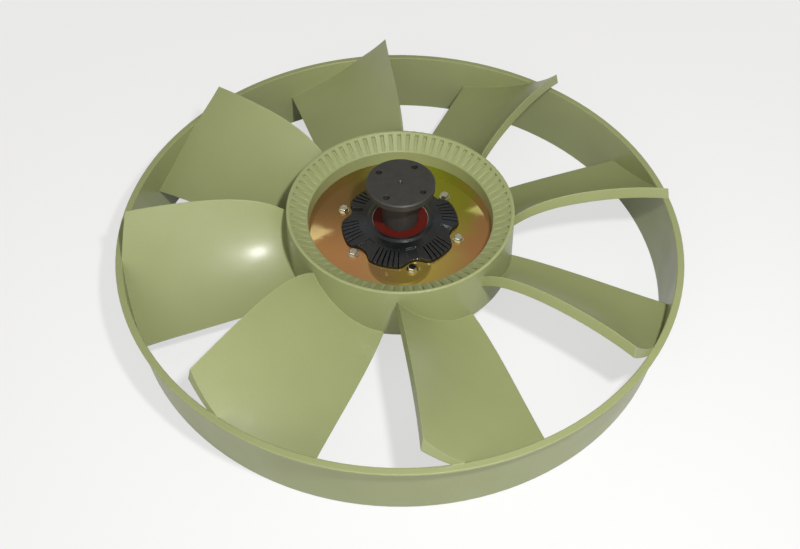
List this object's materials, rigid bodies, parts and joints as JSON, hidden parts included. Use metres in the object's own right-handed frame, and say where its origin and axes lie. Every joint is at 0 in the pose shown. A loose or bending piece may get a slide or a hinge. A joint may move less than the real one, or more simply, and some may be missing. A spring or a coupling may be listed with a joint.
{
  "type": "axial fan impeller with viscous clutch",
  "caption": "Ring-shrouded axial cooling fan in moulded plastic, bolted by its steel hub plate to a viscous clutch whose flanged drive shaft turns on a sealed bearing.",
  "frame": {"origin": "on the fan axis, in the plane of the ring's lower edge, on which the fan stands", "axes": "+Z along the fan axis towards the drive flange on the engine side; +X to the right of the picture"},
  "size_m": [0.704, 0.704, 0.1585],
  "materials": {
    "fan_plastic": "semi-gloss moulded polyamide, olive green",
    "plate_zinc": "steel with yellow zinc passivation",
    "bolt_steel": "steel with pale yellowish zinc plating",
    "clutch_black": "cast aluminium with black paint",
    "shaft_steel": "turned steel with charcoal coating",
    "bearing_steel": "ground bearing steel",
    "seal_red": "moulded red rubber",
    "seal_black": "black rubber",
    "rotor_aluminium": "turned aluminium",
    "spring_steel": "plain spring steel",
    "zinc_screw": "zinc plated steel"
  },
  "bodies": {
    "fan": {"fan_moulding": "fan_plastic", "hub_plate": "plate_zinc", "fan_bolts": "bolt_steel", "clutch_housing": "clutch_black", "clutch_cover": "clutch_black", "cover_screws": "zinc_screw", "cover_seal": "seal_black", "bearing_outer_ring": "bearing_steel", "upper_seal": "seal_red", "lower_seal": "seal_black", "bearing_retainer": "spring_steel", "divider_plate": "spring_steel", "divider_screws": "zinc_screw", "valve_lever": "spring_steel", "lever_rivet": "spring_steel", "pin_seal": "seal_black", "bimetal_strip": "spring_steel", "strip_brackets": "plate_zinc", "bracket_screws": "zinc_screw", "filler_plug": "zinc_screw"},
    "drive": {"drive_shaft": "shaft_steel", "bearing_inner_ring": "bearing_steel", "drive_rotor": "rotor_aluminium", "rotor_washer": "zinc_screw", "rotor_bolt": "zinc_screw"},
    "ball_set": {"bearing_balls": "bearing_steel", "bearing_cage": "spring_steel"},
    "pin": {"control_pin": "spring_steel"}
  },
  "joints": [
    {"name": "drive_spin", "type": "hinge", "parent": "fan", "child": "drive", "pos_m": [0, 0, 0.0875], "axis": [0, 0, 1], "continuous": true},
    {"name": "ball_orbit", "type": "hinge", "parent": "fan", "child": "ball_set", "pos_m": [0, 0, 0.0875], "axis": [0, 0, 1], "continuous": true},
    {"name": "pin_travel", "type": "slide", "parent": "fan", "child": "pin", "axis": [0, 0, -1], "range_m": [0, 0.0012], "stiffness_N_per_m": 2000, "deforming": ["valve_lever", "bimetal_strip"]}
  ],
  "couplings": [
    {"joint": "ball_orbit", "follows": "drive_spin", "ratio": 0.3972}
  ]
}
